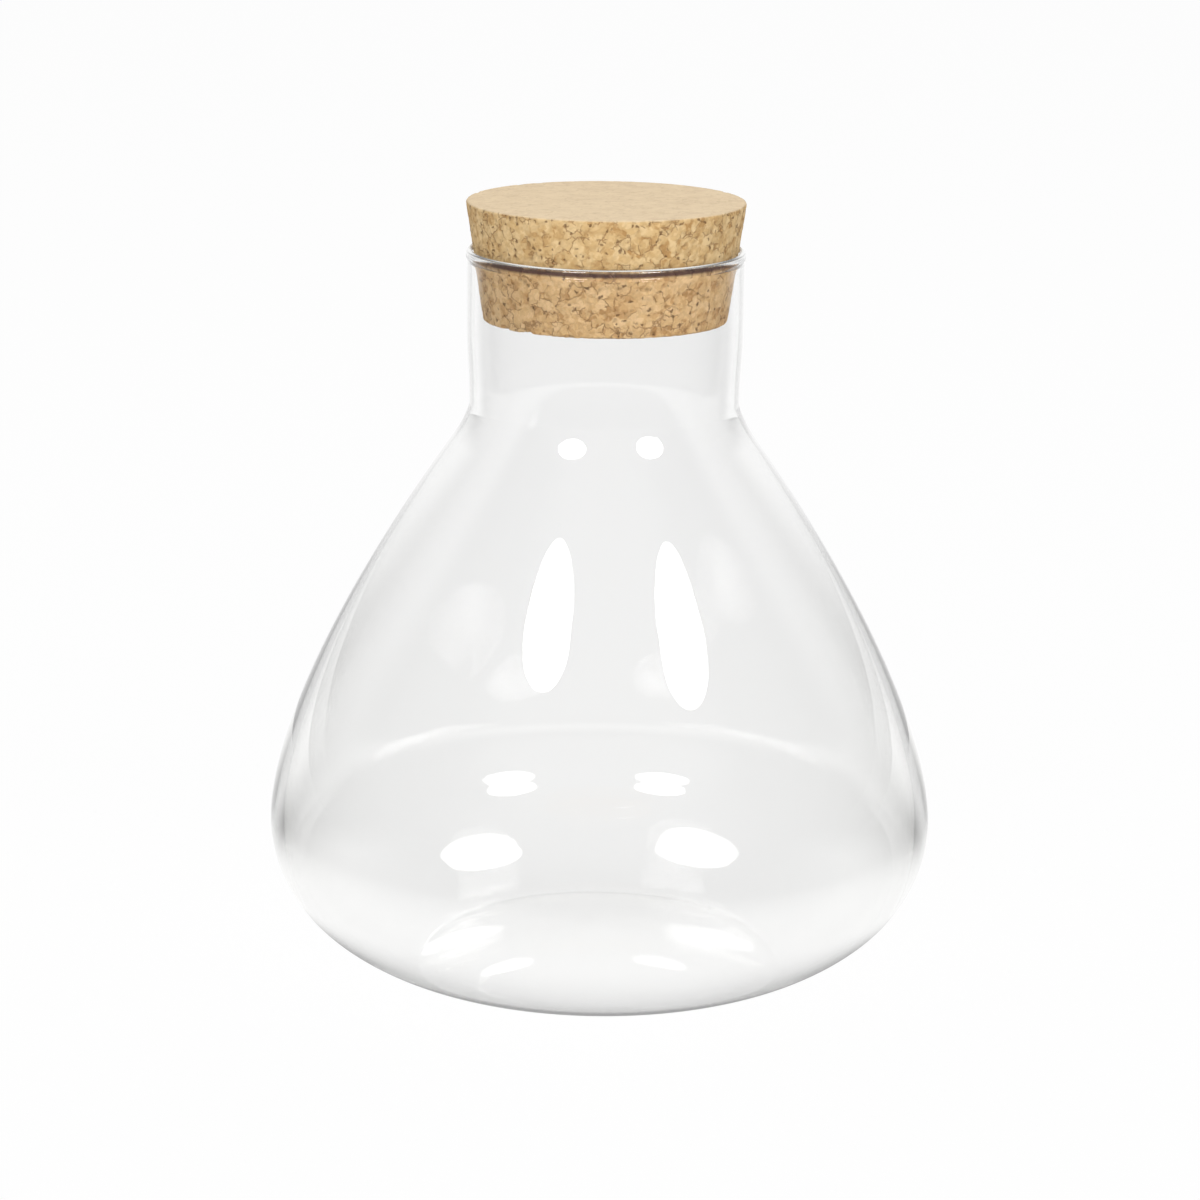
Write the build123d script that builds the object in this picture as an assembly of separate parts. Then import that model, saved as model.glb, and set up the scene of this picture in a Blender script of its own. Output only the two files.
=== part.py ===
from build123d import *
import os
from math import cos, hypot, radians, sin, tan

# A blown glass storage jar, shaped like a flask, with a tapered cork in its mouth.
# Lengths are in millimetres and angles in degrees.
# The jar stands on z = 0, and the Z axis is the axis of the jar and of the cork.

# Outside of the glass, from the foot up
stand_radius = 55.7
belly_radius = 102.8
belly_height = 46.7
side_rise = 131.2
shoulder_radius = 47.0
shoulder_angle = 35.1
bend_radius = 7.0
bend_angle = 23.0
waist_radius = 41.4
neck_radius = 42.2
swell_height = 25.6
neck_length = 47.3

# Glass thickness, thickest at the belly, and the raised bottom
wall = 1.5
belly_wall = 3.8
base_thickness = 1.7
stand_width = 4.2
kick_rise = 1.3

# Fire-polished rim, a little thicker than the neck and taller than thick
rim_thickness = 2.2
rim_bead_height = 3.9
rim_blend = 1.2

# Cork stopper, wedged in the rim by its taper
cork_height = 36.1
plug_depth = 21.3
cork_taper = 8.6
cork_top_rounding = 0.8
cork_bottom_rounding = 0.7
seat_clearance = 0.15

# How far each handle of a curve reaches, as a share of the span that the curve covers
heel_foot_share = 0.12
heel_side_share = 0.76
heel_inside_share = 0.79
side_belly_share = 0.165
side_shoulder_share = 0.50
kick_middle_share = 0.50
kick_edge_share = 0.25

# Places that follow from the sizes above
neck_foot = belly_height + side_rise
swell_top = neck_foot + swell_height
rim_height = neck_foot + neck_length
bead_radius = neck_radius - wall / 2
bead_middle = rim_height - rim_bead_height / 2
stand_inner_radius = stand_radius - stand_width
bend_centre = Vector(waist_radius + bend_radius, neck_foot)


def heel_curve(inset, foot_level, side_share):
    # The rounded lower corner, from the standing ring out and up to the widest place.
    widest = belly_radius - inset
    reach = heel_foot_share * (widest - stand_radius)
    drop = side_share * (belly_height - foot_level)
    return Bezier(
        (stand_radius, foot_level),
        (stand_radius + reach, foot_level),
        (widest, belly_height - drop),
        (widest, belly_height),
    )


def side_curve(belly_inset, top_inset):
    # The long side, from the widest place up to the hollow curve of the shoulder.
    widest = belly_radius - belly_inset
    lean = radians(shoulder_angle)
    top = shoulder_centre() - Vector(cos(lean), sin(lean)) * (shoulder_radius + top_inset)
    span = hypot(widest - top.X, top.Y - belly_height)
    top_reach = side_shoulder_share * span
    return Bezier(
        (widest, belly_height),
        (widest, belly_height + side_belly_share * span),
        (top.X + top_reach * sin(lean), top.Y - top_reach * cos(lean)),
        (top.X, top.Y),
    )


def shoulder_centre():
    # The wide and the tight arc touch, so their centres lie on one line with the touching point.
    lean = radians(bend_angle)
    return bend_centre + Vector(cos(lean), sin(lean)) * (shoulder_radius - bend_radius)


def shoulder_curve(inset):
    # The hollow curve under the neck: a wide arc, and a tight one up to the waist of the neck.
    turn = bend_angle - shoulder_angle
    wide = CenterArc(shoulder_centre(), shoulder_radius + inset, 180 + shoulder_angle, turn)
    tight = CenterArc(bend_centre, bend_radius + inset, 180 + bend_angle, -bend_angle)
    return [wide, tight]


def neck_curve(inset):
    # The neck opens a little from its waist, then stays as wide up to the rim.
    waist = waist_radius - inset
    widened = neck_radius - inset
    halfway = neck_foot + swell_height / 2
    return Bezier((waist, neck_foot), (waist, halfway), (widened, halfway), (widened, swell_top))


def raised_curve(edge_radius, edge_level):
    # The gentle rise of the bottom, from the axis out to where it runs level.
    top_level = edge_level + kick_rise
    return Bezier(
        (0, top_level),
        (kick_middle_share * edge_radius, top_level),
        (edge_radius - kick_edge_share * edge_radius, edge_level),
        (edge_radius, edge_level),
    )


def rim_bead():
    # The oval section of the rim, whose middle lies on the middle of the neck's wall.
    return Pos(bead_radius, bead_middle) * Ellipse(rim_thickness / 2, rim_bead_height / 2)


def glass_section():
    # Half of the jar cut through its axis, with X as the radius and Y as the height.
    inner_radius = neck_radius - wall
    outside = [
        raised_curve(stand_inner_radius, 0),
        Line((stand_inner_radius, 0), (stand_radius, 0)),
        heel_curve(0, 0, heel_side_share),
        side_curve(0, 0),
        *shoulder_curve(0),
        neck_curve(0),
        Line((neck_radius, swell_top), (neck_radius, bead_middle)),
    ]
    mouth = Line((neck_radius, bead_middle), (inner_radius, bead_middle))
    inside = [
        raised_curve(stand_radius, base_thickness),
        heel_curve(belly_wall, base_thickness, heel_inside_share),
        side_curve(belly_wall, wall),
        *shoulder_curve(wall),
        neck_curve(wall),
        Line((inner_radius, swell_top), (inner_radius, bead_middle)),
    ]
    axis_line = Line((0, kick_rise), (0, kick_rise + base_thickness))
    section = make_face([*outside, mouth, *inside, axis_line]) + rim_bead()
    return soften_rim(section)


def soften_rim(section):
    # The bead runs into the neck's wall in two small hollow curves.
    def under_bead(corner):
        below = rim_height - rim_bead_height < corner.Y < bead_middle
        return below and abs(corner.X - bead_radius) < rim_thickness

    return fillet(section.vertices().filter_by(under_bead), rim_blend)


def glass_jar():
    return revolve(Plane.XZ * glass_section(), Axis.Z)


def cork_radius_at(height):
    # The cork's side stays clear of the rim's oval by the seat clearance.
    taper = radians(cork_taper)
    across = rim_thickness / 2 * cos(taper)
    along = rim_bead_height / 2 * sin(taper)
    from_middle = (hypot(across, along) + seat_clearance) / cos(taper)
    return bead_radius - from_middle + (height - bead_middle) * tan(taper)


def cork_lid():
    bottom = rim_height - plug_depth
    top = bottom + cork_height
    plug = Cone(
        cork_radius_at(bottom),
        cork_radius_at(top),
        cork_height,
        align=(Align.CENTER, Align.CENTER, Align.MIN),
    )
    edges = plug.edges().filter_by(GeomType.CIRCLE).sort_by(Axis.Z)
    plug = fillet(edges[-1], cork_top_rounding)
    edges = plug.edges().filter_by(GeomType.CIRCLE).sort_by(Axis.Z)
    plug = fillet(edges[0], cork_bottom_rounding)
    return Pos(0, 0, bottom) * plug


def write_parts():
    os.makedirs("parts", exist_ok=True)
    export_step(glass_jar(), "parts/glass_jar.step")
    export_step(cork_lid(), "parts/cork_lid.step")


write_parts()
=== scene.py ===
import itertools
import math

import bpy
import numpy as np
from mathutils import Matrix, Quaternion, Vector


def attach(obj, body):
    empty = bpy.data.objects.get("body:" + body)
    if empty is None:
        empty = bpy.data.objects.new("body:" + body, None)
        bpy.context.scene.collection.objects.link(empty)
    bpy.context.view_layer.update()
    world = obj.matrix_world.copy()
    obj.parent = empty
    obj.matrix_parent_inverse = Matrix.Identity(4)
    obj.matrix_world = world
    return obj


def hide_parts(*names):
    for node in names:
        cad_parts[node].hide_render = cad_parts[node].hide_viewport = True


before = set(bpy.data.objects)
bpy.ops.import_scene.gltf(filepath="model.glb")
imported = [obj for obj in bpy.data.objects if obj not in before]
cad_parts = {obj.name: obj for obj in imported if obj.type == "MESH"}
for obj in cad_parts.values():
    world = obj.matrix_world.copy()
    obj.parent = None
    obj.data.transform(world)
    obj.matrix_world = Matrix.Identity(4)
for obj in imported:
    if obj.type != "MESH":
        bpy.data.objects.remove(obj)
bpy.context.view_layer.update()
print("frame loaded:", sorted(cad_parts))

scene = bpy.context.scene
for leftOver in ("Cube", "Light", "Camera"):
    if leftOver in bpy.data.objects:
        bpy.data.objects.remove(bpy.data.objects[leftOver])


# Straight in front of the jar and a little above it. The frame is square.
cameraLook = {
    "place": (-0.000604, -1.270, 0.42307),
    "tiltDown": 0.2377,
    "roll": 0.0113,
    "lens": 126.53,
    "sensor": 36.0,
    "clip": (0.05, 40.0),
}


def makeCamera(look):
    data = bpy.data.cameras.new("studioCamera")
    data.lens = look["lens"]
    data.sensor_width = look["sensor"]
    data.clip_start, data.clip_end = look["clip"]
    data.dof.use_dof = False
    camera = bpy.data.objects.new("studioCamera", data)
    scene.collection.objects.link(camera)
    aim = Matrix.Rotation(math.pi / 2 - look["tiltDown"], 4, "X") @ Matrix.Rotation(look["roll"], 4, "Z")
    camera.matrix_world = Matrix.Translation(look["place"]) @ aim
    scene.camera = camera


makeCamera(cameraLook)
print("camera placed")


def newMaterial(name):
    material = bpy.data.materials.new(name)
    material.use_nodes = True
    material.node_tree.nodes.clear()
    return material, material.node_tree


def addNode(tree, kind, **settings):
    node = tree.nodes.new(kind)
    for key, value in settings.items():
        if key in node.inputs.keys():
            node.inputs[key].default_value = value
        else:
            setattr(node, key, value)
    return node


def addMath(tree, operation, *values):
    node = addNode(tree, "ShaderNodeMath", operation=operation)
    for socket, value in zip(node.inputs, values):
        if isinstance(value, bpy.types.NodeSocket):
            tree.links.new(value, socket)
        else:
            socket.default_value = value
    return node.outputs[0]


def addFade(tree, source, edges, ends=(0.0, 1.0)):
    # A smooth step from the first of the ends to the second, between the two edges.
    node = addNode(tree, "ShaderNodeMapRange", interpolation_type="SMOOTHSTEP")
    for key, value in zip(("From Min", "From Max", "To Min", "To Max"), (*edges, *ends)):
        node.inputs[key].default_value = value
    tree.links.new(source, node.inputs["Value"])
    return node.outputs["Result"]


def addRamp(tree, source, stops):
    # A new ramp has two stops already, so the two outer ones come first in the list.
    node = addNode(tree, "ShaderNodeValToRGB")
    elements = node.color_ramp.elements
    for index, (place, colour) in enumerate(stops):
        element = elements[index] if index < 2 else elements.new(place)
        element.position = place
        element.color = (*colour, 1.0)
    tree.links.new(source, node.inputs[0])
    return node.outputs["Color"]


def addMixColour(tree, blend, factor, first, colour):
    # A Mix node that is set to colours uses its inputs 0, 6 and 7 and its output 2.
    node = addNode(tree, "ShaderNodeMix", data_type="RGBA", blend_type=blend)
    tree.links.new(factor, node.inputs[0])
    tree.links.new(first, node.inputs[6])
    node.inputs[7].default_value = (*colour, 1.0)
    return node.outputs[2]


def newGroup(name, inputs, outputs):
    group = bpy.data.node_groups.new(name, "ShaderNodeTree")
    for label, value in inputs.items():
        socket = group.interface.new_socket(name=label, in_out="INPUT", socket_type="NodeSocketFloat")
        socket.default_value = value
    for label in outputs:
        group.interface.new_socket(name=label, in_out="OUTPUT", socket_type="NodeSocketFloat")
    return group, group.nodes.new("NodeGroupInput"), group.nodes.new("NodeGroupOutput")


def newPiece(name, points, faces):
    mesh = bpy.data.meshes.new(name)
    mesh.from_pydata(points.tolist(), [], faces)
    mesh.polygons.foreach_set("use_smooth", [True] * len(faces))
    mesh.update()
    piece = bpy.data.objects.new(name, mesh)
    scene.collection.objects.link(piece)
    return piece


# The glass mirrors a dimmer studio than the one seen straight on or through it, which draws it in greys.
# A wedge's two numbers are the Y of the level direction where it starts and where it is full, and 1 is
# straight behind the jar.
studio = {
    "floorRadius": 7.0,
    "floorCorners": 96,
    "floorGap": 0.00015,           # the glass stands a hair above the sheet, so that no faces coincide
    "floorGlow": 0.97,
    "floorColour": (0.02, 0.02, 0.02),
    "sheetReach": (0.14, 0.30),    # mirrored, the sheet is white this near to the jar and behind it
    "sheetShade": 0.15,
    "sheetWedge": (0.47, 0.71),
    "contactReach": (0.080, 0.110),  # and dim again under the rounded heel
    "contactShade": 0.35,
    "backWedge": (0.74, 0.95),
    "backOpening": 0.60,           # how much wider the white behind the jar is higher up
    "roomShade": 0.08,
    "roomBack": 0.95,
    "roomHaze": (0.35, 0.85),      # values of the direction's Z between which that white fades out
    "roomFront": 0.35,
    "frontWedge": (0.45, 0.90),
    "target": (0.0, 0.0, 0.12),    # what every light is aimed at
    "softboxes": {
        "softboxLeft": {"turn": -29.2, "lift": 42.4, "size": (0.665, 0.480), "watts": 12.0},
        "softboxRight": {"turn": 42.3, "lift": 39.4, "size": (0.665, 0.520), "watts": 12.6},
        "ceilingLeft": {"turn": -140.0, "lift": 64.6, "spin": -42.6, "size": (0.47, 0.92), "watts": 6.0},
        "ceilingRight": {"turn": 144.0, "lift": 58.6, "spin": 40.7, "size": (0.45, 0.80), "watts": 5.5},
    },
    "softboxDistance": 2.0,
    "unmirrored": {                # lights that the glass doesn't mirror
        "overheadLight": {"place": (0.0, -0.1, 1.6), "size": (1.8, 1.8), "watts": 4.0},
        "frontFill": {"place": (0.0, -1.7, 0.9), "size": (1.6, 1.6), "watts": 8.0},
    },
}


def addWedge(tree, way, edges, opening=0.0):
    # 1 inside a wedge of directions behind the jar and 0 outside it. Negative edges put the wedge in
    # front, and an opening widens it with height.
    level = addNode(tree, "ShaderNodeVectorMath", operation="MULTIPLY")
    level.inputs[1].default_value = (1.0, 1.0, 0.0)
    tree.links.new(way, level.inputs[0])
    unit = addNode(tree, "ShaderNodeVectorMath", operation="NORMALIZE")
    tree.links.new(level.outputs[0], unit.inputs[0])
    split = addNode(tree, "ShaderNodeSeparateXYZ")
    tree.links.new(unit.outputs[0], split.inputs[0])
    height = addNode(tree, "ShaderNodeSeparateXYZ")
    tree.links.new(way, height.inputs[0])
    across = addMath(tree, "MULTIPLY_ADD", height.outputs["Z"], opening, split.outputs["Y"])
    return addFade(tree, across, edges)


def floorMaterial(look):
    # A white sheet. Light that the glass has mirrored sees it white only near the jar and behind it,
    # and dim again under the heel.
    material, tree = newMaterial("whiteSheet")
    place = addNode(tree, "ShaderNodeNewGeometry").outputs["Position"]
    wedge = addWedge(tree, place, look["sheetWedge"])
    length = addNode(tree, "ShaderNodeVectorMath", operation="LENGTH")
    tree.links.new(place, length.inputs[0])
    away = addFade(tree, length.outputs["Value"], look["sheetReach"])
    path = addNode(tree, "ShaderNodeLightPath")
    mirrored = addMath(tree, "MINIMUM", path.outputs["Glossy Depth"], 1.0)
    shaded = addMath(tree, "MULTIPLY", mirrored, addMath(tree, "SUBTRACT", 1.0, wedge))
    shaded = addMath(tree, "MULTIPLY", shaded, away)
    glow = addMath(tree, "MULTIPLY_ADD", shaded, look["sheetShade"] - look["floorGlow"], look["floorGlow"])
    darkest = look["contactShade"] - look["floorGlow"]
    under = addFade(tree, length.outputs["Value"], look["contactReach"], (darkest, 0.0))
    glow = addMath(tree, "MULTIPLY_ADD", mirrored, under, glow)
    sheen = addNode(tree, "ShaderNodeEmission", Color=(1.0, 1.0, 1.0, 1.0))
    tree.links.new(glow, sheen.inputs["Strength"])
    paper = addNode(tree, "ShaderNodeBsdfDiffuse", Color=(*look["floorColour"], 1.0))
    both = addNode(tree, "ShaderNodeAddShader")
    tree.links.new(sheen.outputs[0], both.inputs[0])
    tree.links.new(paper.outputs[0], both.inputs[1])
    result = addNode(tree, "ShaderNodeOutputMaterial")
    tree.links.new(both.outputs[0], result.inputs["Surface"])
    return material


def makeFloor(look):
    count, radius, level = look["floorCorners"], look["floorRadius"], -look["floorGap"]
    angles = np.arange(count) * 2 * math.pi / count
    corners = [(radius * math.cos(a), radius * math.sin(a), level) for a in angles]
    mesh = bpy.data.meshes.new("studioFloor")
    mesh.from_pydata(corners, [], [list(range(count))])
    mesh.materials.append(floorMaterial(look))
    floor = bpy.data.objects.new("studioFloor", mesh)
    scene.collection.objects.link(floor)


def areaLight(name, light, place, target, mirrored):
    data = bpy.data.lights.new(name, "AREA")
    data.shape = "ELLIPSE"
    data.size, data.size_y = light["size"]
    data.energy = light["watts"]
    lamp = bpy.data.objects.new(name, data)
    scene.collection.objects.link(lamp)
    lamp.location = place
    lamp.rotation_mode = "QUATERNION"
    aim = (Vector(target) - Vector(place)).to_track_quat("-Z", "Y")
    lamp.rotation_quaternion = aim @ Quaternion((0.0, 0.0, 1.0), math.radians(light.get("spin", 0.0)))
    lamp.visible_glossy = mirrored
    lamp.visible_transmission = mirrored
    lamp.visible_camera = False


def makeRoom(look):
    # A dim room, lighter in front, with a white backdrop behind the jar that fades out upwards and to its
    # sides. Until light is mirrored or scattered, the room is all as white as the sheet.
    world = bpy.data.worlds.new("dimRoom")
    world.use_nodes = True
    tree = world.node_tree
    way = addNode(tree, "ShaderNodeTexCoord").outputs["Generated"]
    wedge = addWedge(tree, way, look["backWedge"], look["backOpening"])
    split = addNode(tree, "ShaderNodeSeparateXYZ")
    tree.links.new(way, split.inputs[0])
    haze = addFade(tree, split.outputs["Z"], look["roomHaze"], (1.0, 0.0))
    back = addMath(tree, "MULTIPLY", wedge, haze)
    shade = addMath(tree, "MULTIPLY_ADD", back, look["roomBack"] - look["roomShade"], look["roomShade"])
    front = addWedge(tree, way, [-edge for edge in look["frontWedge"]])
    shade = addMath(tree, "MULTIPLY_ADD", front, look["roomFront"] - look["roomShade"], shade)
    path = addNode(tree, "ShaderNodeLightPath")
    turned = addMath(tree, "ADD", path.outputs["Glossy Depth"], path.outputs["Diffuse Depth"])
    straight = addMath(tree, "SUBTRACT", 1.0, addMath(tree, "MINIMUM", turned, 1.0))
    missing = addMath(tree, "SUBTRACT", look["floorGlow"], shade)
    shade = addMath(tree, "MULTIPLY_ADD", missing, straight, shade)
    background = tree.nodes["Background"]
    background.inputs["Color"].default_value = (1.0, 1.0, 1.0, 1.0)
    tree.links.new(shade, background.inputs["Strength"])
    return world


def makeStudio(look):
    makeFloor(look)
    target, reach = look["target"], look["softboxDistance"]
    for name, box in look["softboxes"].items():
        turn, lift = math.radians(box["turn"]), math.radians(box["lift"])
        level = math.cos(lift)
        way = Vector((math.sin(turn) * level, -math.cos(turn) * level, math.sin(lift)))
        areaLight(name, box, Vector(target) + way * reach, target, True)
    for name, light in look["unmirrored"].items():
        areaLight(name, light, light["place"], target, False)
    scene.world = makeRoom(look)
    scene.view_settings.view_transform = "Standard"
    scene.view_settings.look = "None"


makeStudio(studio)
print("studio lit")


# The glass is given in metres and degrees, as radii, heights and thicknesses of its outline.
glassJar = {
    "standRadius": 0.0557,
    "bellyRadius": 0.1028,
    "bellyHeight": 0.0467,
    "sideRise": 0.1312,
    "shoulderBend": 0.0070,        # radius of the tight bend, which meets the wide one at the bendAngle
    "bendAngle": 23.0,
    "shoulderRadius": 0.0470,
    "shoulderAngle": 35.1,
    "waistRadius": 0.0414,
    "neckRadius": 0.0422,
    "swellHeight": 0.0256,
    "neckLength": 0.0473,
    "wall": 0.0015,
    "bellyWall": 0.0038,
    "baseThickness": 0.0017,
    "standWidth": 0.0042,
    "kickRise": 0.0013,
    "rimThickness": 0.0022,
    "rimHeight": 0.0039,
    "rimBlend": 0.0012,
    "heelFoot": 0.12,              # the handles of the curves, as shares of what each curve spans
    "heelSide": 0.76,
    "heelInside": 0.79,
    "sideBelly": 0.165,
    "sideShoulder": 0.50,
    "kickMiddle": 0.50,
    "kickEdge": 0.75,
    "heelPoints": 64,
    "sidePoints": 90,
    "widePoints": 16,
    "tightPoints": 12,
    "swellPoints": 18,
    "neckPoints": 14,
    "blendPoints": 7,
    "blendTries": 2001,            # points of the oval that the blend is tried against
    "beadPoints": 40,
    "kickPoints": 60,
    "ringPoints": 6,
    "segments": 384,
    "rippleOutside": 0.00005,      # deepest the blown outside waves inwards
    "rippleInside": 0.00012,
    "rippleFoot": 0.006,           # no ripple below this height, or in this stretch under the rim's top
    "rippleRim": 0.008,
    "rippleFade": 0.02,
    "waves": 9,
    "mostAround": 5,               # waves in one turn round the jar
    "waveRates": (4.0, 34.0),      # radians to the metre up the jar
    "waveWeights": (0.4, 1.0),
    "seed": 7,
}


def rimTop(jar):
    return jar["bellyHeight"] + jar["sideRise"] + jar["neckLength"]


def beadMiddle(jar):
    # The middle of the rim's oval, on the middle of the neck's wall.
    return jar["neckRadius"] - jar["wall"] / 2, rimTop(jar) - jar["rimHeight"] / 2


def bezierPoints(start, handleA, handleB, end, count):
    t = np.linspace(0.0, 1.0, count)[:, None]
    points = [np.array(p, float) for p in (start, handleA, handleB, end)]
    return ((1 - t) ** 3 * points[0] + 3 * (1 - t) ** 2 * t * points[1]
            + 3 * (1 - t) * t ** 2 * points[2] + t ** 3 * points[3])


def arcPoints(centre, radiusX, radiusY, fromAngle, toAngle, count):
    a = np.linspace(fromAngle, toAngle, count)
    return np.stack([centre[0] + radiusX * np.cos(a), centre[1] + radiusY * np.sin(a)], axis=1)


def wallPoints(jar, bellyInset, inset, heelSide, footLevel, topLevel):
    # One face of the glass from the foot up to topLevel: insets of 0 are the outside.
    belly, neckFoot = jar["bellyHeight"], jar["bellyHeight"] + jar["sideRise"]
    widest = jar["bellyRadius"] - bellyInset
    foot = jar["standRadius"]
    heel = bezierPoints(
        (foot, footLevel),
        (foot + jar["heelFoot"] * (widest - foot), footLevel),
        (widest, belly - heelSide * (belly - footLevel)),
        (widest, belly), jar["heelPoints"])
    bend, lean = math.radians(jar["bendAngle"]), math.radians(jar["shoulderAngle"])
    tight, wide = jar["shoulderBend"] + inset, jar["shoulderRadius"] + inset
    bendCentre = np.array([jar["waistRadius"] + jar["shoulderBend"], neckFoot])
    shift = jar["shoulderRadius"] - jar["shoulderBend"]
    wideCentre = bendCentre + shift * np.array([math.cos(bend), math.sin(bend)])
    tightArc = arcPoints(bendCentre, tight, tight, math.pi + bend, math.pi, jar["tightPoints"])
    wideArc = arcPoints(wideCentre, wide, wide, math.pi + lean, math.pi + bend, jar["widePoints"])
    endRadius, endHeight = wideArc[0]
    span = math.hypot(widest - endRadius, endHeight - belly)
    topReach = jar["sideShoulder"] * span
    side = bezierPoints(
        (widest, belly),
        (widest, belly + jar["sideBelly"] * span),
        (endRadius + topReach * math.sin(lean), endHeight - topReach * math.cos(lean)),
        (endRadius, endHeight), jar["sidePoints"])
    waist, full = jar["waistRadius"] - inset, jar["neckRadius"] - inset
    halfway, swellTop = neckFoot + jar["swellHeight"] / 2, neckFoot + jar["swellHeight"]
    swell = bezierPoints(
        (waist, neckFoot), (waist, halfway), (full, halfway), (full, swellTop), jar["swellPoints"])
    levels = np.linspace(swellTop, topLevel, jar["neckPoints"])
    neck = np.stack([np.full(len(levels), full), levels], axis=1)
    return np.vstack([heel, side[1:], wideArc[1:], tightArc[1:], swell[1:], neck[1:]])


def beadBlend(jar, side):
    # The small hollow under the bead, from the neck's wall up to the bead's oval, and the oval's angle
    # where they meet. side is 1 outside and -1 inside.
    halfThick, halfTall, blend = jar["rimThickness"] / 2, jar["rimHeight"] / 2, jar["rimBlend"]
    tries = np.linspace(0.0, math.pi / 2, jar["blendTries"])
    oval = np.stack([halfThick * np.cos(tries), -halfTall * np.sin(tries)], axis=1)
    normal = oval / np.array([halfThick, halfTall]) ** 2
    centres = oval + blend * normal / np.hypot(*normal.T)[:, None]
    best = np.argmin(np.abs(centres[:, 0] - jar["wall"] / 2 - blend))
    toOval = oval[best] - centres[best]
    turn = math.atan2(toOval[1], toOval[0])
    arc = arcPoints(centres[best], blend, blend, math.pi, turn, jar["blendPoints"])
    return np.array(beadMiddle(jar)) + arc * (side, 1), tries[best]


def raisedPoints(jar, edge, level):
    # The gentle rise of the bottom, from the axis out to where it runs level.
    top = level + jar["kickRise"]
    middleHandle, edgeHandle = jar["kickMiddle"] * edge, jar["kickEdge"] * edge
    return bezierPoints(
        (0.0, top), (middleHandle, top), (edgeHandle, level), (edge, level), jar["kickPoints"])


def jarOutline(jar):
    # The outline from the axis under the jar, out and up to the rim, and down inside to the axis again.
    outer, ovalAngle = beadBlend(jar, 1)
    inner, _ = beadBlend(jar, -1)
    base = jar["baseThickness"]
    outside = wallPoints(jar, 0.0, 0.0, jar["heelSide"], 0.0, outer[0][1])
    inside = wallPoints(jar, jar["bellyWall"], jar["wall"], jar["heelInside"], base, inner[0][1])
    bead = arcPoints(beadMiddle(jar), jar["rimThickness"] / 2, jar["rimHeight"] / 2,
                     -ovalAngle, math.pi + ovalAngle, jar["beadPoints"])
    stand, ringInside = jar["standRadius"], jar["standRadius"] - jar["standWidth"]
    across = np.linspace(ringInside, stand, jar["ringPoints"])
    ring = np.stack([across, np.zeros(len(across))], axis=1)
    underside = np.vstack([raisedPoints(jar, ringInside, 0.0), ring[1:]])
    up = np.vstack([outside[1:], outer[1:], bead[1:-1]])
    down = np.vstack([inner[::-1], inside[::-1][1:], raisedPoints(jar, stand, base)[::-1][1:]])
    return underside, up, down


def rippleField(jar, heights, angles, seed):
    # Slow waves round and up the glass, from 0 to 1, which close on themselves round the jar.
    rng = np.random.default_rng(seed)
    field = np.zeros((len(heights), len(angles)))
    total = 0.0
    for _ in range(jar["waves"]):
        around, along = rng.integers(0, jar["mostAround"] + 1), rng.uniform(*jar["waveRates"])
        shiftA, shiftB = rng.uniform(0, 2 * math.pi), rng.uniform(0, 2 * math.pi)
        weight = rng.uniform(*jar["waveWeights"])
        waveAround = np.cos(around * angles[None, :] + shiftA)
        waveAlong = np.cos(along * heights[:, None] + shiftB)
        field += weight * waveAround * waveAlong
        total += weight
    return 0.5 + 0.5 * field / total


def ringFaces(first, rings, segments):
    # Faces between rings of points that follow one another, from the point numbered first.
    faces = []
    for ring, here in itertools.product(range(rings - 1), range(segments)):
        low, high = first + ring * segments, first + (ring + 1) * segments
        beside = (here + 1) % segments
        faces.append([low + here, low + beside, high + beside, high + here])
    return faces


def latheFaces(rings, segments):
    # Rings of points between two single points on the axis.
    start, last = 1 + (rings - 1) * segments, 1 + rings * segments
    steps = [(here, (here + 1) % segments) for here in range(segments)]
    firstFan = [[0, 1 + beside, 1 + here] for here, beside in steps]
    lastFan = [[last, start + here, start + beside] for here, beside in steps]
    return ringFaces(1, rings, segments) + firstFan + lastFan


def makeGlassJar(jar):
    underside, up, down = jarOutline(jar)
    outline = np.vstack([underside, up, down])
    isInside = np.arange(len(outline)) >= len(underside) + len(up)
    # where two stretches meet, the point that they share is kept once
    sameWithin = 1e-6
    fresh = np.ones(len(outline), bool)
    fresh[1:] = np.hypot(*np.diff(outline, axis=0).T) > sameWithin
    outline, isInside = outline[fresh], isInside[fresh]
    slope = np.gradient(outline, axis=0)
    normal = np.stack([slope[:, 1], -slope[:, 0]], axis=1)
    normal /= np.hypot(*normal.T)[:, None]
    heights = outline[:, 1]
    angles = np.arange(jar["segments"]) * 2 * math.pi / jar["segments"]
    fade = np.clip((heights - jar["rippleFoot"]) / jar["rippleFade"], 0, 1)
    fade *= np.clip((rimTop(jar) - jar["rippleRim"] - heights) / jar["rippleFade"], 0, 1)
    outsideWave = rippleField(jar, heights, angles, jar["seed"]) * jar["rippleOutside"]
    insideWave = rippleField(jar, heights, angles, jar["seed"] + 1) * jar["rippleInside"]
    depth = np.where(isInside[:, None], insideWave, outsideWave) * fade[:, None]
    radius = outline[:, :1] - normal[:, :1] * depth
    level = outline[:, 1:] - normal[:, 1:] * depth
    rings = np.stack([radius * np.cos(angles), radius * np.sin(angles), level], axis=2)
    points = np.vstack([rings[0, :1], *rings[1:-1], rings[-1, :1]])
    return newPiece("blownJar", points, latheFaces(len(rings) - 2, jar["segments"]))


glassLook = {
    "ior": 1.5,
    "roughness": 0.0,
    "rippleScale": 30.0,
    "rippleDepth": 0.00004,
    "rippleDetail": 1.0,
    "rippleRoughness": 0.35,
    "rippleDistortion": 0.4,
    "straightTint": (0.98, 0.98, 0.98),  # of the light in shadows, which goes straight through the glass
    "mostMirrors": 2.5,            # light that is mirrored more often leaves the wall in the same way
    "bodyTint": (0.80, 0.80, 0.70),  # thick glass colours light towards this
    "bodyDensity": 12.0,
}


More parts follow.
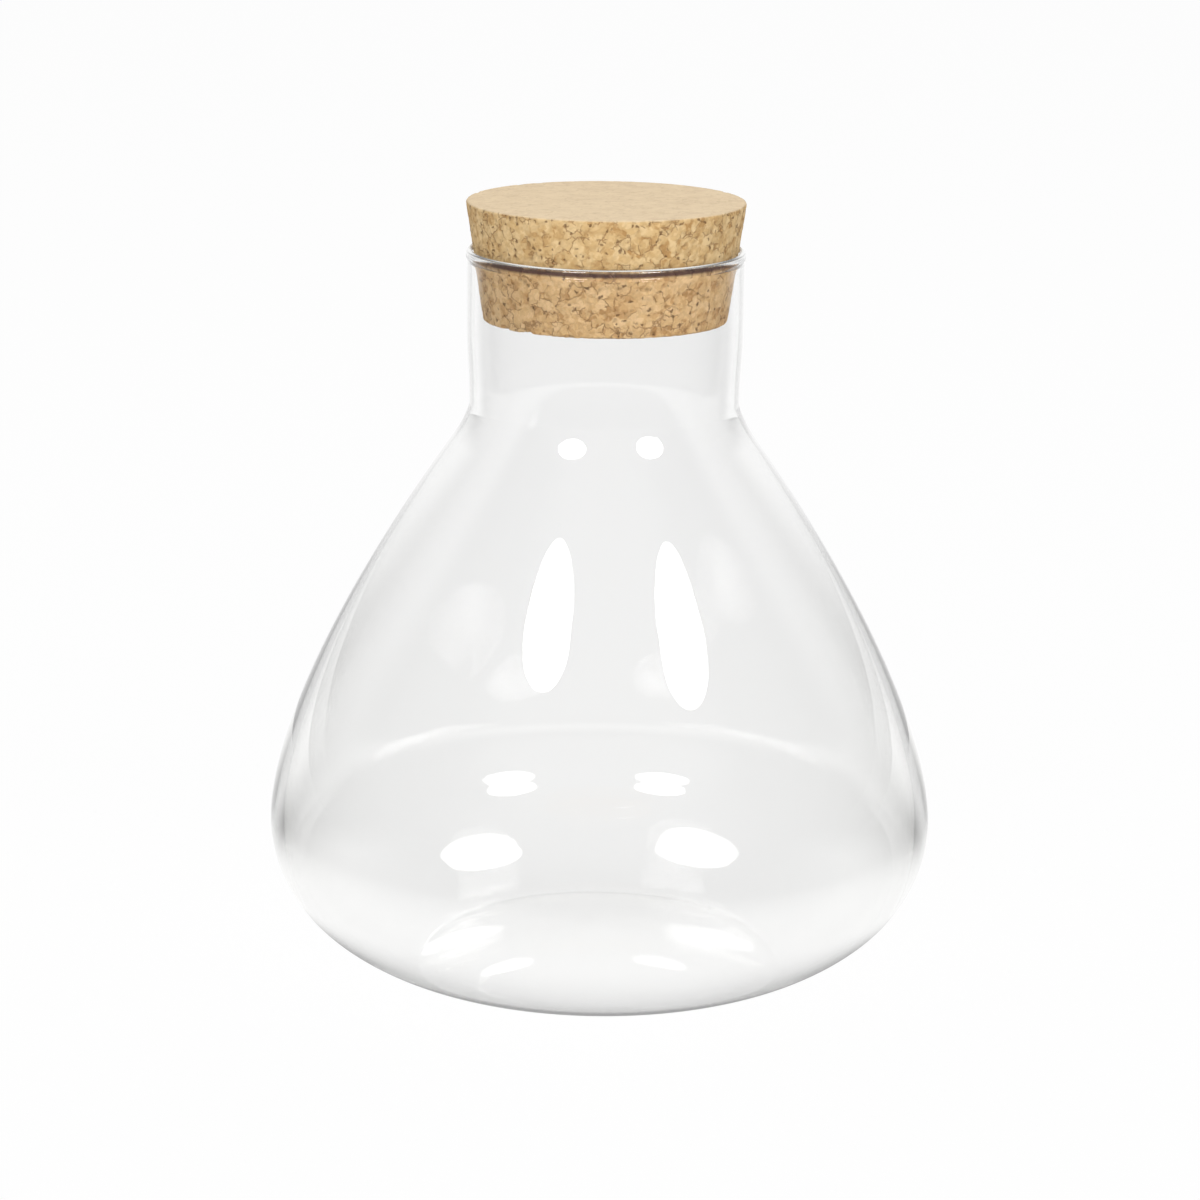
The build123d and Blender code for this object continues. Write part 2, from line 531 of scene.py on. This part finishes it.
def rippleGroup(look):
    # Faint waves of blown glass, as a height for a Bump node.
    group, given, result = newGroup(
        "blownRipple", {"Scale": look["rippleScale"], "Depth": look["rippleDepth"]}, ["Height"])
    where = addNode(group, "ShaderNodeTexCoord")
    noise = addNode(group, "ShaderNodeTexNoise", Detail=look["rippleDetail"],
                    Roughness=look["rippleRoughness"], Distortion=look["rippleDistortion"])
    group.links.new(where.outputs["Object"], noise.inputs["Vector"])
    group.links.new(given.outputs["Scale"], noise.inputs["Scale"])
    height = addMath(group, "MULTIPLY", noise.outputs["Fac"], given.outputs["Depth"])
    group.links.new(height, result.inputs["Height"])
    return group


def glassMaterial(look):
    material, tree = newMaterial("clearBlownGlass")
    ripple = addNode(tree, "ShaderNodeGroup", node_tree=rippleGroup(look))
    bump = addNode(tree, "ShaderNodeBump", Strength=1.0, Distance=1.0)
    tree.links.new(ripple.outputs["Height"], bump.inputs["Height"])
    glass = addNode(tree, "ShaderNodeBsdfPrincipled", Roughness=look["roughness"], IOR=look["ior"])
    glass.inputs["Base Color"].default_value = (1.0, 1.0, 1.0, 1.0)
    glass.inputs["Metallic"].default_value = 0.0
    glass.inputs["Transmission Weight"].default_value = 1.0
    tree.links.new(bump.outputs["Normal"], glass.inputs["Normal"])
    clear = addNode(tree, "ShaderNodeBsdfTransparent", Color=(*look["straightTint"], 1.0))
    path = addNode(tree, "ShaderNodeLightPath")
    trapped = addMath(tree, "GREATER_THAN", path.outputs["Glossy Depth"], look["mostMirrors"])
    mix = addNode(tree, "ShaderNodeMixShader")
    tree.links.new(addMath(tree, "MAXIMUM", path.outputs["Is Shadow Ray"], trapped), mix.inputs[0])
    tree.links.new(glass.outputs[0], mix.inputs[1])
    tree.links.new(clear.outputs[0], mix.inputs[2])
    body = addNode(tree, "ShaderNodeVolumeAbsorption", Density=look["bodyDensity"])
    body.inputs["Color"].default_value = (*look["bodyTint"], 1.0)
    result = addNode(tree, "ShaderNodeOutputMaterial")
    tree.links.new(mix.outputs[0], result.inputs["Surface"])
    tree.links.new(body.outputs[0], result.inputs["Volume"])
    return material


blownJar = makeGlassJar(glassJar)
blownJar.data.materials.append(glassMaterial(glassLook))
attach(blownJar, "jar")
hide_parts("glass_jar")
print("jar blown:", len(blownJar.data.vertices), "points")


corkPiece = {
    "bottom": 0.2039,
    "height": 0.0361,
    "taper": 8.6,
    "seatClearance": 0.00015,
    "topRounding": 0.0008,
    "bottomRounding": 0.0007,
    "roundingPoints": 6,
    "segments": 512,
    "sideRows": 74,
    "bendSize": 0.0021,            # the granules' outlines are bent in waves of this size and reach
    "bendReach": 0.0012,
    "grainSize": 0.0034,
    "grainGroove": 0.00016,
    "grooveWidth": 0.16,           # widths of grooves, pits and chips are shares of their cells' sizes
    "grooveShade": 0.35,           # how dark a groove is, next to a pit
    "grainLift": 0.00010,
    "pitSize": 0.0026,
    "pitShare": 0.16,
    "pitDepth": 0.00055,
    "pitWidth": (0.10, 0.42),
    "pitLeast": 0.4,               # the shallowest pit, as a share of the deepest
    "chipSize": 0.0040,
    "chipShare": 0.22,
    "chipDepth": 0.00060,
    "chipWidth": (0.25, 0.55),
    "chipReach": (0.0006, 0.0030),  # chips end between these distances from the top and bottom edges
    "fineSize": 0.0009,
    "fineDepth": 0.00005,
    "topEdge": (0.3, 0.9),         # how far a face turns up before it counts as the cut top
    "topRelief": 0.25,             # the cut top is smoother than the side
    "seatHeight": 0.0013,          # the rim presses a faint groove into the side, and a painted shadow darkens it
    "seatFade": (0.7, 1.1),
    "seatNear": (0.90, 0.97),      # and stays near to it, by shares of the radius
    "seatDepth": 0.00008,
    "aboveRimShadeHeight": 0.002,        # the painted shade sets in over this height, from the rim's middle up
    "seed": 23,
}


def corkRadiusAt(piece, height):
    # The side stays clear of the rim's oval by the seat clearance.
    taper = math.radians(piece["taper"])
    centre, middle = beadMiddle(glassJar)
    halfThick, halfTall = glassJar["rimThickness"] / 2, glassJar["rimHeight"] / 2
    reach = math.hypot(halfThick * math.cos(taper), halfTall * math.sin(taper)) + piece["seatClearance"]
    return centre - reach / math.cos(taper) + (height - middle) * math.tan(taper)


def cellNoise(points, size, seed):
    # Cells round scattered centres: the distances to the nearest and the second nearest centre, in cell
    # sizes, and the nearest cell's number, from 0 to 1.
    scaled = points / size
    base = np.floor(scaled).astype(np.int64)
    near = np.full(len(points), np.inf)
    second = np.full(len(points), np.inf)
    name = np.zeros(len(points))

    def hashed(cell, salt):
        # Large factors scramble a cell's place into a number from 0 to 1.
        mixed = (cell[:, 0] * 73856093) ^ (cell[:, 1] * 19349663) ^ (cell[:, 2] * 83492791)
        mixed = mixed ^ ((seed + salt) * 2654435761)
        mixed = (mixed ^ (mixed >> 13)) * 1274126177
        return ((mixed ^ (mixed >> 16)) & 0xFFFFFF) / 0xFFFFFF

    for step in itertools.product((-1, 0, 1), repeat=3):
        cell = base + np.array(step)
        centre = cell + np.stack([hashed(cell, salt) for salt in (1, 2, 3)], axis=1)
        distance = np.linalg.norm(scaled - centre, axis=1)
        closer = distance < near
        second = np.where(closer, near, np.minimum(second, distance))
        name = np.where(closer, hashed(cell, 4), name)
        near = np.where(closer, distance, near)
    return near, second, name


def smoothStep(low, high, value):
    t = np.clip((value - low) / (high - low), 0.0, 1.0)
    return t * t * (3 - 2 * t)


def corkProfile(piece):
    # The plain cork's side, from its bottom face up to its top face: points and the outward directions
    # there, each as a radius and a height.
    low, high = piece["bottom"], piece["bottom"] + piece["height"]
    taper = math.radians(piece["taper"])
    lower, upper = piece["bottomRounding"], piece["topRounding"]
    # the roundings' centres lie one rounding in from the side and from the flat
    lowerCentre = (corkRadiusAt(piece, low + lower) - lower / math.cos(taper), low + lower)
    upperCentre = (corkRadiusAt(piece, high - upper) - upper / math.cos(taper), high - upper)
    lowerArc = arcPoints(lowerCentre, lower, lower, -math.pi / 2, -taper, piece["roundingPoints"])
    upperArc = arcPoints(upperCentre, upper, upper, -taper, math.pi / 2, piece["roundingPoints"])
    shares = np.linspace(0.0, 1.0, piece["sideRows"])[1:-1, None]
    side = lowerArc[-1] + shares * (upperArc[0] - lowerArc[-1])
    outward = np.tile((math.cos(taper), -math.sin(taper)), (len(side), 1))
    directions = [(lowerArc - lowerCentre) / lower, outward, (upperArc - upperCentre) / upper]
    return np.vstack([lowerArc, side, upperArc]), np.vstack(directions)


def addDisc(points, normals, faces, ring, height, up):
    # A round grid that closes a ring of points, given by their numbers. Its own rings hold 8 points, 16
    # and so on, out to the given one.
    half = len(ring) // 8
    radius = math.hypot(*points[ring[0]][:2])
    grid = {}
    for i, j in itertools.product(range(-half, half + 1), repeat=2):
        if (i, j) == (0, 0):
            reach, angle = 0, 0.0
        elif abs(i) >= abs(j):
            reach, angle = i, (math.pi / 4) * (j / i)
        else:
            reach, angle = j, math.pi / 2 - (math.pi / 4) * (i / j)
        if max(abs(i), abs(j)) == half:
            turn = (angle if reach > 0 else angle + math.pi) / (2 * math.pi)
            grid[i, j] = ring[round(turn * len(ring)) % len(ring)]
        else:
            grid[i, j] = len(points)
            away = radius * reach / half
            points.append((away * math.cos(angle), away * math.sin(angle), height))
            normals.append((0.0, 0.0, up))
    for i, j in itertools.product(range(-half, half), repeat=2):
        quad = [grid[i, j], grid[i + 1, j], grid[i + 1, j + 1], grid[i, j + 1]]
        faces.append(quad if up > 0 else quad[::-1])


def corkSurface(piece):
    # Points, outward directions and faces of the plain cork: a side of rings, closed by two discs.
    profile, directions = corkProfile(piece)
    segments, count = piece["segments"], len(profile)
    angles = np.arange(segments) * 2 * math.pi / segments

    def spin(rows):
        across, level = rows[:, :1], np.repeat(rows[:, 1:], segments, axis=1)
        rings = np.stack([across * np.cos(angles), across * np.sin(angles), level], axis=2)
        return rings.reshape(-1, 3).tolist()

    points, normals = spin(profile), spin(directions)
    faces = ringFaces(0, count, segments)
    top, bottom = range((count - 1) * segments, count * segments), range(segments)
    addDisc(points, normals, faces, top, piece["bottom"] + piece["height"], 1.0)
    addDisc(points, normals, faces, bottom, piece["bottom"], -1.0)
    return np.array(points), np.array(normals), faces


def carveCork(piece, points, normals):
    # How far each point is cut inwards, and the masks of the hollows, the flat top with its painted
    # sheen, the rim line with its painted shadow and the painted shade above the rim. Each layer of cells
    # has a seed of its own.
    seed = piece["seed"]
    waves = [cellNoise(points, piece["bendSize"], seed + layer)[0] - 0.5 for layer in (31, 32, 33)]
    bent = points + np.stack(waves, axis=1) * piece["bendReach"]
    near, second, name = cellNoise(bent, piece["grainSize"], seed)
    groove = 1 - smoothStep(0.0, piece["grooveWidth"], second - near)
    depth = piece["grainGroove"] * groove + piece["grainLift"] * name
    near, _, name = cellNoise(bent, piece["pitSize"], seed + 5)
    pit = (name < piece["pitShare"]) * (1 - smoothStep(*piece["pitWidth"], near))
    least = piece["pitLeast"]
    depth = depth + piece["pitDepth"] * pit * (least + (1 - least) * name / piece["pitShare"])
    radius, height = np.hypot(points[:, 0], points[:, 1]), points[:, 2]
    side = np.array([corkRadiusAt(piece, z) for z in height])
    toTop = np.hypot(radius - side, height - piece["bottom"] - piece["height"])
    toBottom = np.hypot(radius - side, height - piece["bottom"])
    edge = 1 - smoothStep(*piece["chipReach"], np.minimum(toTop, toBottom))
    near, _, name = cellNoise(bent, piece["chipSize"], seed + 9)
    chip = (name < piece["chipShare"]) * (1 - smoothStep(*piece["chipWidth"], near)) * edge
    depth = depth + piece["chipDepth"] * chip
    depth = depth + piece["fineDepth"] * cellNoise(bent, piece["fineSize"], seed + 13)[0]
    # the cut top's mask, for its smoother relief and its painted sheen
    flatTop = smoothStep(*piece["topEdge"], normals[:, 2])
    relief = 1 - (1 - piece["topRelief"]) * flatTop
    above = height - beadMiddle(glassJar)[1]
    # the rim's line: a faint groove, and the mask of its painted shadow
    seat = 1 - smoothStep(*piece["seatFade"], np.abs(above) / (piece["seatHeight"] / 2))
    seat = seat * smoothStep(*piece["seatNear"], radius / side)
    hollow = np.clip(pit + piece["grooveShade"] * groove, 0, 1) * relief
    # the mask of the painted shade above the rim
    aboveRimShade = smoothStep(0.0, piece["aboveRimShadeHeight"], above)
    depth = depth * relief + piece["seatDepth"] * seat
    return depth, {"hollow": hollow, "flatTop": flatTop, "seat": seat, "aboveRimShade": aboveRimShade}


def makeCork(piece):
    points, normals, faces = corkSurface(piece)
    depth, shades = carveCork(piece, points, normals)
    cork = newPiece("corkStopper", points - normals * depth[:, None], faces)
    for name, values in shades.items():
        shade = cork.data.attributes.new(name, "FLOAT", "POINT")
        shade.data.foreach_set("value", values.astype(np.float32))
    return cork


corkLook = {
    "coarseShare": 0.55,           # the granules' part in the shade, and the rest is the finer grain's
    "brownTo": 0.08,               # the shade runs from brown over tan to pale
    "tanAt": 0.36,
    "paleFrom": 0.78,
    "paleColour": (0.77, 0.535, 0.283),
    "tanColour": (0.65, 0.415, 0.190),
    "brownColour": (0.48, 0.265, 0.101),
    "crackColour": (0.30, 0.155, 0.062),
    "crackShare": 0.70,
    "speckColour": (0.13, 0.062, 0.025),
    "speckShare": 0.75,
    "hollowShare": 0.40,
    # painted sheen: the cut top is painted paler and greyer than the side, standing in for the light from
    # above
    "paintedTopSheenColour": (0.66, 0.545, 0.390),
    "paintedTopSheenShare": 0.74,
    "topSmoothing": 0.8,           # how far seams, specks and bumps fade on the cut top
    # painted shadow in the line where the rim meets the cork
    "seatColour": (0.082, 0.038, 0.034),
    "seatShare": 0.95,
    # painted shade: above the rim the cork is tinted darker than inside the glass
    "aboveRimShadeColour": (0.93, 0.97, 0.965),
    "roughness": 0.85,
    "specular": 0.25,
    "grainBump": 0.00014,
    "fineBump": 0.4,
}


# Scales are cells to the metre, the reach is in metres, and widths are shares of a cell.
granules = {
    "coarseScale": 290.0,
    "fineScale": 760.0,
    "bendReach": 0.0026,
    "bendScale": 520.0,
    "bendDetail": 3.0,
    "softness": 0.35,
    "patchScale": 230.0,           # the seams show in patches
    "patchDetail": 2.0,
    "patchEdges": (0.47, 0.56),
    "seamWidth": 0.07,
    "speckScale": 560.0,
    "speckShare": 0.20,
    "speckEdges": (0.18, 0.42),
}


def granuleGroup(grain):
    # Pressed cork granules: a soft number for each granule, broken seams between them and dark specks.
    group, given, result = newGroup(
        "corkGranules", {"Scale": grain["coarseScale"], "Warp": grain["bendReach"]},
        ["Grain", "Seam", "Speck", "Height"])
    where = addNode(group, "ShaderNodeTexCoord")
    noise = addNode(group, "ShaderNodeTexNoise", Scale=grain["bendScale"], Detail=grain["bendDetail"])
    group.links.new(where.outputs["Object"], noise.inputs["Vector"])
    centred = addNode(group, "ShaderNodeVectorMath", operation="SUBTRACT")
    centred.inputs[1].default_value = (0.5, 0.5, 0.5)
    group.links.new(noise.outputs["Color"], centred.inputs[0])
    scaled = addNode(group, "ShaderNodeVectorMath", operation="SCALE")
    group.links.new(centred.outputs[0], scaled.inputs[0])
    group.links.new(given.outputs["Warp"], scaled.inputs["Scale"])
    bent = addNode(group, "ShaderNodeVectorMath", operation="ADD")
    group.links.new(where.outputs["Object"], bent.inputs[0])
    group.links.new(scaled.outputs[0], bent.inputs[1])
    cells = addNode(group, "ShaderNodeTexVoronoi", feature="SMOOTH_F1", Smoothness=grain["softness"])
    edges = addNode(group, "ShaderNodeTexVoronoi", feature="DISTANCE_TO_EDGE")
    for texture in (cells, edges):
        group.links.new(bent.outputs[0], texture.inputs["Vector"])
        group.links.new(given.outputs["Scale"], texture.inputs["Scale"])
    split = addNode(group, "ShaderNodeSeparateColor")
    group.links.new(cells.outputs["Color"], split.inputs[0])
    patches = addNode(group, "ShaderNodeTexNoise", Scale=grain["patchScale"], Detail=grain["patchDetail"])
    group.links.new(where.outputs["Object"], patches.inputs["Vector"])
    broken = addFade(group, patches.outputs["Fac"], grain["patchEdges"])
    seam = addFade(group, edges.outputs["Distance"], (0.0, grain["seamWidth"]), (1.0, 0.0))
    seam = addMath(group, "MULTIPLY", seam, broken)
    speckCells = addNode(group, "ShaderNodeTexVoronoi", feature="F1", Scale=grain["speckScale"])
    group.links.new(bent.outputs[0], speckCells.inputs["Vector"])
    speckSplit = addNode(group, "ShaderNodeSeparateColor")
    group.links.new(speckCells.outputs["Color"], speckSplit.inputs[0])
    rare = addMath(group, "LESS_THAN", speckSplit.outputs[0], grain["speckShare"])
    core = addFade(group, speckCells.outputs["Distance"], grain["speckEdges"], (1.0, 0.0))
    speck = addMath(group, "MULTIPLY", rare, core)
    height = addMath(group, "SUBTRACT", split.outputs[1], seam)
    shades = {"Grain": split.outputs[0], "Seam": seam, "Speck": speck, "Height": height}
    for label, shade in shades.items():
        group.links.new(shade, result.inputs[label])
    return group


def corkMaterial(look):
    material, tree = newMaterial("pressedCork")
    group = granuleGroup(granules)
    coarse = addNode(tree, "ShaderNodeGroup", node_tree=group)
    fine = addNode(tree, "ShaderNodeGroup", node_tree=group)
    fine.inputs["Scale"].default_value = granules["fineScale"]
    carved = {name: addNode(tree, "ShaderNodeAttribute", attribute_name=name).outputs["Fac"]
              for name in ("hollow", "flatTop", "seat", "aboveRimShade")}
    relief = addMath(tree, "MULTIPLY_ADD", carved["flatTop"], -look["topSmoothing"], 1.0)
    fineGrain = addMath(tree, "MULTIPLY", fine.outputs["Grain"], 1 - look["coarseShare"])
    grain = addMath(tree, "MULTIPLY_ADD", coarse.outputs["Grain"], look["coarseShare"], fineGrain)
    colour = addRamp(tree, grain, [
        (look["brownTo"], look["brownColour"]),
        (look["paleFrom"], look["paleColour"]),
        (look["tanAt"], look["tanColour"])])
    # painted shade: the cork above the rim is tinted darker
    colour = addMixColour(tree, "MULTIPLY", carved["aboveRimShade"], colour, look["aboveRimShadeColour"])
    # painted sheen on the flat top
    paintedTopSheen = addMath(tree, "MULTIPLY", carved["flatTop"], look["paintedTopSheenShare"])
    seamShade = addMath(tree, "MULTIPLY", coarse.outputs["Seam"], look["crackShare"])
    seamShade = addMath(tree, "MULTIPLY", seamShade, relief)
    hollowShade = addMath(tree, "MULTIPLY", carved["hollow"], look["hollowShare"])
    speckShade = addMath(tree, "MULTIPLY", coarse.outputs["Speck"], look["speckShare"])
    speckShade = addMath(tree, "MULTIPLY", speckShade, relief)
    # painted shadow along the rim's line
    seatShade = addMath(tree, "MULTIPLY", carved["seat"], look["seatShare"])
    layers = [
        (paintedTopSheen, "paintedTopSheenColour"),
        (seamShade, "crackColour"),
        (hollowShade, "speckColour"),
        (speckShade, "speckColour"),
        (seatShade, "seatColour"),
    ]
    for shade, name in layers:
        colour = addMixColour(tree, "MIX", shade, colour, look[name])
    coarseHeight, fineHeight = coarse.outputs["Height"], fine.outputs["Height"]
    height = addMath(tree, "MULTIPLY_ADD", fineHeight, look["fineBump"], coarseHeight)
    height = addMath(tree, "SUBTRACT", height, coarse.outputs["Speck"])
    height = addMath(tree, "MULTIPLY", height, relief)
    bump = addNode(tree, "ShaderNodeBump", Strength=1.0, Distance=look["grainBump"])
    tree.links.new(height, bump.inputs["Height"])
    cork = addNode(tree, "ShaderNodeBsdfPrincipled", Roughness=look["roughness"])
    cork.inputs["Specular IOR Level"].default_value = look["specular"]
    tree.links.new(colour, cork.inputs["Base Color"])
    tree.links.new(bump.outputs["Normal"], cork.inputs["Normal"])
    result = addNode(tree, "ShaderNodeOutputMaterial")
    tree.links.new(cork.outputs[0], result.inputs["Surface"])
    return material


corkStopper = makeCork(corkPiece)
corkStopper.data.materials.append(corkMaterial(corkLook))
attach(corkStopper, "lid")
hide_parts("cork_lid")
print("cork pressed:", len(corkStopper.data.vertices), "points")
